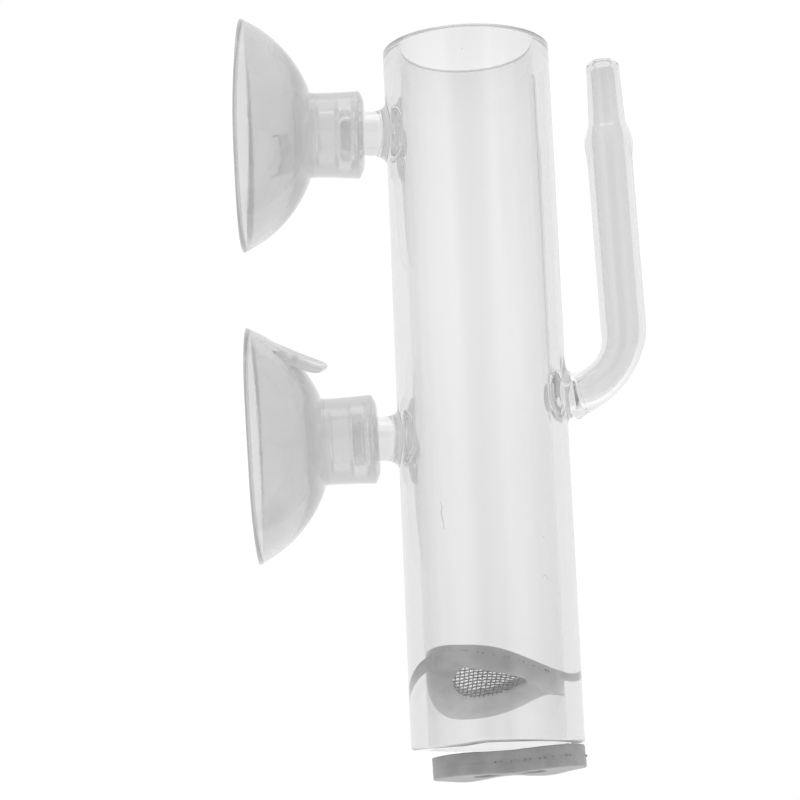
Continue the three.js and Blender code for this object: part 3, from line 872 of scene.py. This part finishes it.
def absorb_with_painted_glow(nt, density, level):
    """Neutral haze inside a clear body: absorption per metre, and a painted glow, an emission that stands in for the
    scattered light a long path settles at.
    """
    v = node(nt, "ShaderNodeVolumeAbsorption")
    v.inputs["Color"].default_value = (0.0, 0.0, 0.0, 1.0)
    v.inputs["Density"].default_value = density
    e = node(nt, "ShaderNodeEmission")
    e.inputs["Color"].default_value = (1.0, 1.0, 1.0, 1.0)
    e.inputs["Strength"].default_value = density * level
    both = node(nt, "ShaderNodeAddShader")
    nt.links.new(v.outputs["Volume"], both.inputs[0])
    nt.links.new(e.outputs["Emission"], both.inputs[1])
    nt.links.new(both.outputs["Shader"], nt.nodes["Material Output"].inputs["Volume"])


def coords(nt, scale):
    c = node(nt, "ShaderNodeTexCoord")
    m = node(nt, "ShaderNodeMapping")
    m.inputs["Scale"].default_value = scale
    nt.links.new(c.outputs["Object"], m.inputs["Vector"])
    return m


# glass: clear, faintly grey, with drawn streaks and water haze; painted shade darkens it by position
mat, nt, bsdf = material("clear_glass")
bsdf.inputs["Transmission Weight"].default_value = 1.0
bsdf.inputs["IOR"].default_value = 1.47
m1 = coords(nt, (260, 260, 9))
n1 = node(nt, "ShaderNodeTexNoise")
n1.inputs["Scale"].default_value = 1.0
n1.inputs["Detail"].default_value = 3.0
nt.links.new(m1.outputs["Vector"], n1.inputs["Vector"])
r1 = ramp(nt, [(0.25, (0.925, 0.925, 0.925)), (0.75, (0.96, 0.96, 0.96))])
nt.links.new(n1.outputs["Fac"], r1.inputs["Fac"])
side = node(nt, "ShaderNodeTexCoord")
apart = node(nt, "ShaderNodeSeparateXYZ")
nt.links.new(side.outputs["Object"], apart.inputs[0])
def along(nt, value, lo, hi, stops):
    """A tone that changes along one axis: stops are (metres, tone)."""
    g = node(nt, "ShaderNodeMapRange")
    g.inputs["From Min"].default_value = lo
    g.inputs["From Max"].default_value = hi
    nt.links.new(value, g.inputs["Value"])
    r = ramp(nt, [((m - lo) / (hi - lo), (t, t, t)) for m, t in stops])
    nt.links.new(g.outputs[0], r.inputs["Fac"])
    return r.outputs["Color"]


# painted shade: darker towards the tube's left and right edges, and darker still over the pegs and the J
edge = along(nt, apart.outputs["X"], 0.015, 0.075, [(0.0235, 0.83), (0.0262, 0.90), (0.0288, 0.91), (0.0308, 1.0), (0.0508, 1.0), (0.0532, 0.92), (0.0565, 0.92), (0.0600, 0.895)])
# painted shade: darker towards both ends of the tube
high = along(nt, apart.outputs["Z"], -0.085, 0.050, [(-0.080, 0.945), (-0.040, 0.975), (0.000, 1.0), (0.030, 0.985), (0.0425, 0.925)])
tone = node(nt, "ShaderNodeMath", operation="MULTIPLY")
nt.links.new(edge, tone.inputs[0])
nt.links.new(high, tone.inputs[1])
tint = node(nt, "ShaderNodeVectorMath", operation="SCALE")
nt.links.new(r1.outputs["Color"], tint.inputs[0])
nt.links.new(tone.outputs[0], tint.inputs["Scale"])
nt.links.new(tint.outputs["Vector"], bsdf.inputs["Base Color"])
m2 = coords(nt, (420, 420, 160))
n2 = node(nt, "ShaderNodeTexNoise")
n2.inputs["Scale"].default_value = 1.0
n2.inputs["Detail"].default_value = 4.0
nt.links.new(m2.outputs["Vector"], n2.inputs["Vector"])
r2 = ramp(nt, [(0.45, (0.012, 0.012, 0.012)), (0.8, (0.05, 0.05, 0.05))])
nt.links.new(n2.outputs["Fac"], r2.inputs["Fac"])
nt.links.new(r2.outputs["Color"], bsdf.inputs["Roughness"])
bump = node(nt, "ShaderNodeBump")
bump.inputs["Strength"].default_value = 0.05
bump.inputs["Distance"].default_value = 0.0002
nt.links.new(n1.outputs["Fac"], bump.inputs["Height"])
nt.links.new(bump.outputs["Normal"], bsdf.inputs["Normal"])
absorb_with_painted_glow(nt, 34.0, 0.70)
glass.data.materials.clear()
glass.data.materials.append(mat)

# soft PVC: translucent, cloudy, slightly glossy
mat, nt, bsdf = material("soft_pvc")
bsdf.inputs["Transmission Weight"].default_value = 1.0
bsdf.inputs["IOR"].default_value = 1.42
m1 = coords(nt, (110, 110, 110))
n1 = node(nt, "ShaderNodeTexNoise")
n1.inputs["Scale"].default_value = 1.0
n1.inputs["Detail"].default_value = 5.0
nt.links.new(m1.outputs["Vector"], n1.inputs["Vector"])
r1 = ramp(nt, [(0.3, (0.925, 0.925, 0.925)), (0.7, (0.965, 0.965, 0.965))])
nt.links.new(n1.outputs["Fac"], r1.inputs["Fac"])
side = node(nt, "ShaderNodeTexCoord")
apart = node(nt, "ShaderNodeSeparateXYZ")
nt.links.new(side.outputs["Object"], apart.inputs[0])
# painted shade: the skirt and dome are toned darker than the collar
dome = along(nt, apart.outputs["X"], -0.002, 0.024, [(0.0, 0.865), (0.0100, 0.865), (0.0140, 0.99), (0.0220, 1.0)])
tint = node(nt, "ShaderNodeVectorMath", operation="MULTIPLY")
nt.links.new(r1.outputs["Color"], tint.inputs[0])
nt.links.new(dome, tint.inputs[1])
# painted shade, split between the lip's halves: the far half gets a dark band at the rim, the near half a slightly
# darker skirt
painted_shade_half_mask = along(nt, apart.outputs["Y"], -0.004, 0.010, [(0.0, 1.0), (0.004, 0.0)])
# painted shade: a dark band at the rim, on the far half
skirt = along(nt, apart.outputs["X"], -0.002, 0.024, [(0.0002, 0.58), (0.0006, 0.58), (0.0009, 1.0), (0.0220, 1.0)])
# painted shade: the skirt a little darker, on the near half
near = along(nt, apart.outputs["X"], -0.002, 0.024, [(0.0, 0.92), (0.0100, 0.94), (0.0130, 1.0)])
painted_lip_shade_mix = node(nt, "ShaderNodeMix", data_type="RGBA")
plain = [i for i in painted_lip_shade_mix.inputs if i.type == "RGBA"]
nt.links.new(painted_shade_half_mask, painted_lip_shade_mix.inputs["Factor"])
nt.links.new(skirt, plain[0])
nt.links.new(near, plain[1])
tint2 = node(nt, "ShaderNodeVectorMath", operation="MULTIPLY")
nt.links.new(tint.outputs["Vector"], tint2.inputs[0])
nt.links.new([o for o in painted_lip_shade_mix.outputs if o.type == "RGBA"][0], tint2.inputs[1])
nt.links.new(tint2.outputs["Vector"], bsdf.inputs["Base Color"])
r2 = ramp(nt, [(0.3, (0.13, 0.13, 0.13)), (0.75, (0.24, 0.24, 0.24))])
nt.links.new(n1.outputs["Fac"], r2.inputs["Fac"])
dull = along(nt, apart.outputs["X"], -0.002, 0.024, [(0.0, 0.38), (0.0100, 0.42), (0.0140, 1.0), (0.0220, 1.0)])
soft = node(nt, "ShaderNodeVectorMath", operation="MULTIPLY")
nt.links.new(r2.outputs["Color"], soft.inputs[0])
nt.links.new(dull, soft.inputs[1])
nt.links.new(soft.outputs["Vector"], bsdf.inputs["Roughness"])
m3 = coords(nt, (900, 900, 900))
n3 = node(nt, "ShaderNodeTexNoise")
n3.inputs["Scale"].default_value = 1.0
n3.inputs["Detail"].default_value = 2.0
nt.links.new(m3.outputs["Vector"], n3.inputs["Vector"])
bump = node(nt, "ShaderNodeBump")
bump.inputs["Strength"].default_value = 0.08
bump.inputs["Distance"].default_value = 0.0001
nt.links.new(n3.outputs["Fac"], bump.inputs["Height"])
nt.links.new(bump.outputs["Normal"], bsdf.inputs["Normal"])
absorb_with_painted_glow(nt, 180.0, 0.56)
for o in (upper_cup, lower_cup):
    o.data.materials.clear()
    o.data.materials.append(mat)

# silicone: matte grey, a little light passes into it
def silicone(name, lo, hi, pieces, painted_glow=None):
    mat, nt, bsdf = material(name)
    bsdf.inputs["Roughness"].default_value = 0.5
    bsdf.inputs["Subsurface Weight"].default_value = 0.35
    bsdf.inputs["Subsurface Radius"].default_value = (0.0015, 0.0015, 0.0015)
    bsdf.inputs["Subsurface Scale"].default_value = 1.0
    m1 = coords(nt, (300, 300, 300))
    n1 = node(nt, "ShaderNodeTexNoise")
    n1.inputs["Scale"].default_value = 1.0
    n1.inputs["Detail"].default_value = 5.0
    nt.links.new(m1.outputs["Vector"], n1.inputs["Vector"])
    r1 = ramp(nt, [(0.3, (lo, lo, lo)), (0.7, (hi, hi, hi))])
    nt.links.new(n1.outputs["Fac"], r1.inputs["Fac"])
    nt.links.new(r1.outputs["Color"], bsdf.inputs["Base Color"])
    if painted_glow:
        # painted glow: an emission, stronger towards the bottom, stands in for light that comes through the thin, bent
        # silicone from below
        c = node(nt, "ShaderNodeTexCoord")
        sp = node(nt, "ShaderNodeSeparateXYZ")
        nt.links.new(c.outputs["Object"], sp.inputs[0])
        g = node(nt, "ShaderNodeMapRange", interpolation_type="SMOOTHSTEP")
        g.inputs["From Min"].default_value, g.inputs["From Max"].default_value = painted_glow[0], painted_glow[1]
        g.inputs["To Min"].default_value, g.inputs["To Max"].default_value = painted_glow[2], painted_glow[3]
        nt.links.new(sp.outputs["Z"], g.inputs["Value"])
        bsdf.inputs["Emission Color"].default_value = (1.0, 1.0, 1.0, 1.0)
        nt.links.new(g.outputs[0], bsdf.inputs["Emission Strength"])
    r2 = ramp(nt, [(0.3, (0.42, 0.42, 0.42)), (0.7, (0.58, 0.58, 0.58))])
    nt.links.new(n1.outputs["Fac"], r2.inputs["Fac"])
    nt.links.new(r2.outputs["Color"], bsdf.inputs["Roughness"])
    m3 = coords(nt, (1800, 1800, 1800))
    n3 = node(nt, "ShaderNodeTexNoise")
    n3.inputs["Scale"].default_value = 1.0
    nt.links.new(m3.outputs["Vector"], n3.inputs["Vector"])
    bump = node(nt, "ShaderNodeBump")
    bump.inputs["Strength"].default_value = 0.15
    bump.inputs["Distance"].default_value = 0.0001
    nt.links.new(n3.outputs["Fac"], bump.inputs["Height"])
    nt.links.new(bump.outputs["Normal"], bsdf.inputs["Normal"])
    for o in pieces:
        o.data.materials.clear()
        o.data.materials.append(mat)


silicone("grey_silicone", 0.19, 0.25, lower_parts[:2], painted_glow=(-0.0900, -0.0800, 0.05, 0.045))
silicone("pale_silicone", 0.38, 0.50, inner_parts[:2], painted_glow=(-0.0760, -0.0695, 0.25, 0.035))

# stainless wire
mat, nt, bsdf = material("stainless_wire")
bsdf.inputs["Metallic"].default_value = 1.0
m1 = coords(nt, (1500, 1500, 1500))
n1 = node(nt, "ShaderNodeTexNoise")
n1.inputs["Scale"].default_value = 1.0
n1.inputs["Detail"].default_value = 3.0
nt.links.new(m1.outputs["Vector"], n1.inputs["Vector"])
r1 = ramp(nt, [(0.3, (0.16, 0.16, 0.155)), (0.75, (0.42, 0.42, 0.41))])
nt.links.new(n1.outputs["Fac"], r1.inputs["Fac"])
nt.links.new(r1.outputs["Color"], bsdf.inputs["Base Color"])
r2 = ramp(nt, [(0.3, (0.25, 0.25, 0.25)), (0.7, (0.42, 0.42, 0.42))])
nt.links.new(n1.outputs["Fac"], r2.inputs["Fac"])
nt.links.new(r2.outputs["Color"], bsdf.inputs["Roughness"])
for o in (inner_parts[2], lower_parts[2]):
    o.data.materials.clear()
    o.data.materials.append(mat)

# ---------------------------------------------------------------------------
# Stage: pale floor well below, a bright back and softer, banded front
# ---------------------------------------------------------------------------
floor_me = bpy.data.meshes.new("floor")
s, fz = 4.0, -0.20
floor_me.from_pydata([(-s, -s, fz), (s, -s, fz), (s, s, fz), (-s, s, fz)], [], [(0, 1, 2, 3)])
floor = object_of("floor", floor_me)
mat, nt, bsdf = material("floor_paper")
bsdf.inputs["Roughness"].default_value = 0.9
m1 = coords(nt, (6, 6, 6))
n1 = node(nt, "ShaderNodeTexNoise")
n1.inputs["Scale"].default_value = 1.0
nt.links.new(m1.outputs["Vector"], n1.inputs["Vector"])
r1 = ramp(nt, [(0.3, (0.80, 0.80, 0.80)), (0.7, (0.84, 0.84, 0.84))])
nt.links.new(n1.outputs["Fac"], r1.inputs["Fac"])
nt.links.new(r1.outputs["Color"], bsdf.inputs["Base Color"])
bsdf.inputs["Emission Color"].default_value = (1.0, 1.0, 1.0, 1.0)
bsdf.inputs["Emission Strength"].default_value = 0.28
floor.data.materials.append(mat)

world = bpy.data.worlds.new("studio")
bpy.context.scene.world = world
world.use_nodes = True
wt = world.node_tree
wt.nodes.clear()
tc = wt.nodes.new("ShaderNodeTexCoord")
sep = wt.nodes.new("ShaderNodeSeparateXYZ")
wt.links.new(tc.outputs["Generated"], sep.inputs[0])
neg = wt.nodes.new("ShaderNodeMath"); neg.operation = "MULTIPLY"; neg.inputs[1].default_value = -1.0
wt.links.new(sep.outputs["Y"], neg.inputs[0])
at = wt.nodes.new("ShaderNodeMath"); at.operation = "ARCTAN2"
wt.links.new(sep.outputs["X"], at.inputs[0])
wt.links.new(neg.outputs[0], at.inputs[1])
mr = wt.nodes.new("ShaderNodeMapRange")
mr.inputs["From Min"].default_value = -math.pi
mr.inputs["From Max"].default_value = math.pi
wt.links.new(at.outputs[0], mr.inputs["Value"])


def az(deg):
    return (deg + 180) / 360


LEVELS = [(-180, 1.0), (-118, 1.0), (-100, 0.72), (-86, 0.62), (-70, 1.08), (-34, 1.08), (-22, 0.50), (18, 0.50), (30, 1.05), (58, 1.05), (72, 0.60), (100, 0.72), (118, 1.0), (180, 1.0)]
cr = wt.nodes.new("ShaderNodeValToRGB")
cr.color_ramp.interpolation = "LINEAR"
els = cr.color_ramp.elements
while len(els) < len(LEVELS):
    els.new(0.5)
for e, (d, v) in zip(els, LEVELS):
    e.position = az(d)
    e.color = (v / 1.1, v / 1.1, v / 1.1, 1)
wt.links.new(mr.outputs[0], cr.inputs["Fac"])
bg1 = wt.nodes.new("ShaderNodeBackground")
bg1.inputs["Strength"].default_value = 1.1
absz = wt.nodes.new("ShaderNodeMath"); absz.operation = "ABSOLUTE"
wt.links.new(sep.outputs["Z"], absz.inputs[0])
high = wt.nodes.new("ShaderNodeMapRange"); high.interpolation_type = "SMOOTHSTEP"
high.inputs["From Min"].default_value = 0.30
high.inputs["From Max"].default_value = 0.60
wt.links.new(absz.outputs[0], high.inputs["Value"])
level = wt.nodes.new("ShaderNodeMix"); level.data_type = "RGBA"
for n_in in level.inputs:
    if n_in.name == "B" and n_in.type == "RGBA":
        n_in.default_value = (0.9, 0.9, 0.9, 1)
    if n_in.name == "A" and n_in.type == "RGBA":
        wt.links.new(cr.outputs["Color"], n_in)
wt.links.new(high.outputs[0], level.inputs["Factor"])
wt.links.new([o for o in level.outputs if o.type == "RGBA"][0], bg1.inputs["Color"])
bg2 = wt.nodes.new("ShaderNodeBackground")
bg2.inputs["Color"].default_value = (1, 1, 1, 1)
bg2.inputs["Strength"].default_value = 1.02
lp = wt.nodes.new("ShaderNodeLightPath")
mix = wt.nodes.new("ShaderNodeMixShader")
wt.links.new(lp.outputs["Is Camera Ray"], mix.inputs[0])
wt.links.new(bg1.outputs[0], mix.inputs[1])
wt.links.new(bg2.outputs[0], mix.inputs[2])
out = wt.nodes.new("ShaderNodeOutputWorld")
wt.links.new(mix.outputs[0], out.inputs["Surface"])


def area(name, at, to, size, power):
    l = bpy.data.lights.new(name, "AREA")
    l.shape = "RECTANGLE"
    l.size, l.size_y = size
    l.energy = power
    o = bpy.data.objects.new(name, l)
    bpy.context.scene.collection.objects.link(o)
    o.location = at
    o.rotation_mode = "QUATERNION"
    o.rotation_quaternion = (Vector(to) - Vector(at)).to_track_quat("-Z", "Y")
    return o


area("soft_top", (0.02, -0.15, 0.75), (0.03, 0, 0), (0.7, 0.5), 2.0)

# ---------------------------------------------------------------------------
# Camera: in front and a little below, looking up along the tube's middle
# ---------------------------------------------------------------------------
yaw, pitch, roll, f_px = -0.0038, 0.18989, -0.04104, 2588.65
fwd = Vector((math.sin(yaw) * math.cos(pitch), math.cos(yaw) * math.cos(pitch), math.sin(pitch)))
right0 = Vector((math.cos(yaw), -math.sin(yaw), 0))
up0 = right0.cross(fwd)
right = right0 * math.cos(roll) + up0 * math.sin(roll)
up = -right0 * math.sin(roll) + up0 * math.cos(roll)
cam_data = bpy.data.cameras.new("camera")
cam = bpy.data.objects.new("camera", cam_data)
bpy.context.scene.collection.objects.link(cam)
cam_data.sensor_width = 36.0
cam_data.lens = f_px / 800 * 36.0
cam_data.clip_start, cam_data.clip_end = 0.01, 100
place = Matrix((
    (right.x, up.x, -fwd.x, (-12.7226 + TX) / 1000),
    (right.y, up.y, -fwd.y, -0.449),
    (right.z, up.z, -fwd.z, (-24.954 + TZ) / 1000),
    (0, 0, 0, 1)))
cam.matrix_world = place
bpy.context.scene.camera = cam
bpy.context.scene.view_settings.view_transform = "Standard"
